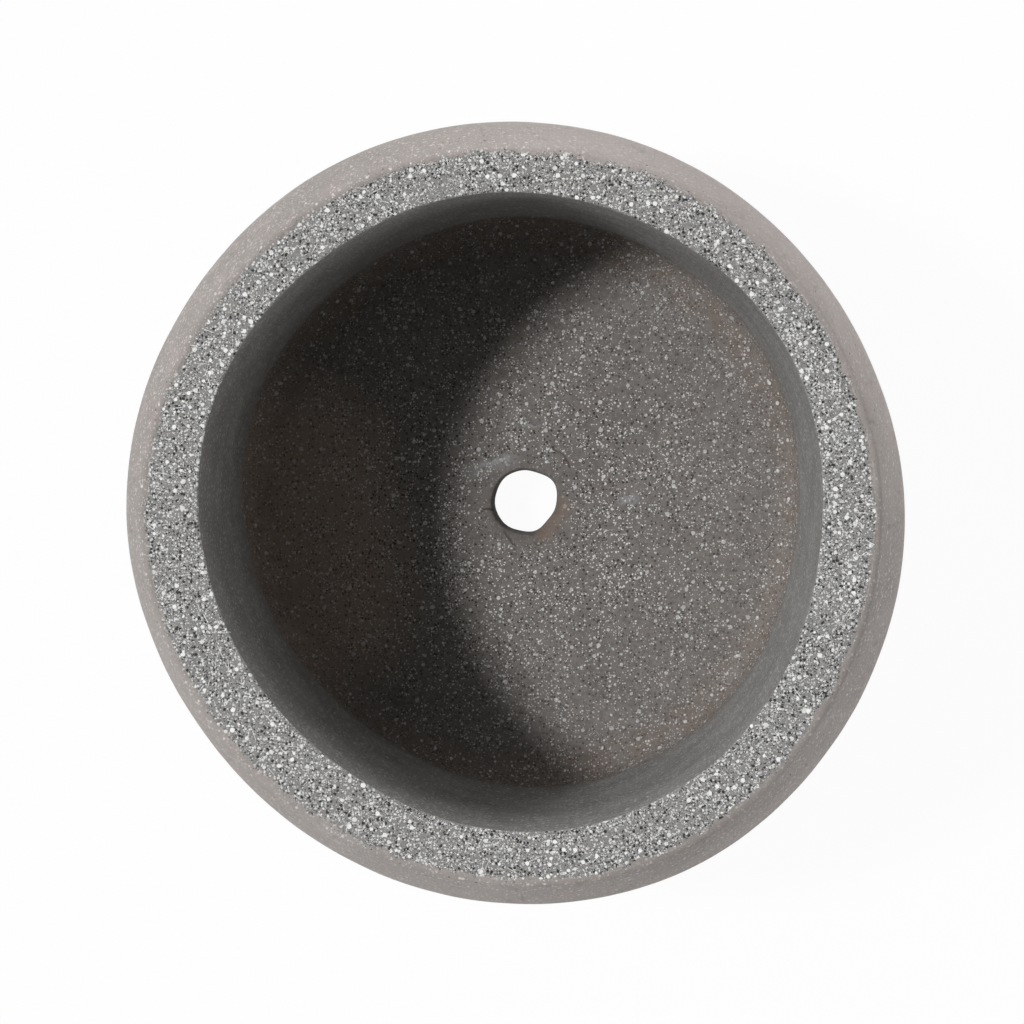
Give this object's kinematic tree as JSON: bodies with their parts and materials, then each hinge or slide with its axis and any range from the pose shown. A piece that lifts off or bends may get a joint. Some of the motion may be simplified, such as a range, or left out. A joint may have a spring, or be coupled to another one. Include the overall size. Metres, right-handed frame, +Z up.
{
  "type": "cast stone planter",
  "caption": "Round-bellied floor planter cast in speckled stone mix, with a ground flat rim, an open drain hole and rubber foot pads.",
  "frame": {"origin": "middle of the footprint, at the ground, under the drain hole", "axes": "+Z up through the mouth; X and Y run between the foot pads, and the pot is round about Z"},
  "size_m": [0.4, 0.4, 0.221],
  "materials": {
    "cast_stone": "matte cast surface with fine pale flecks, ground open at the rim",
    "pad_rubber": "matte black"
  },
  "bodies": {
    "root": {"planter_body": "cast_stone", "foot_pad_1": "pad_rubber", "foot_pad_2": "pad_rubber", "foot_pad_3": "pad_rubber", "foot_pad_4": "pad_rubber"}
  },
  "joints": []
}
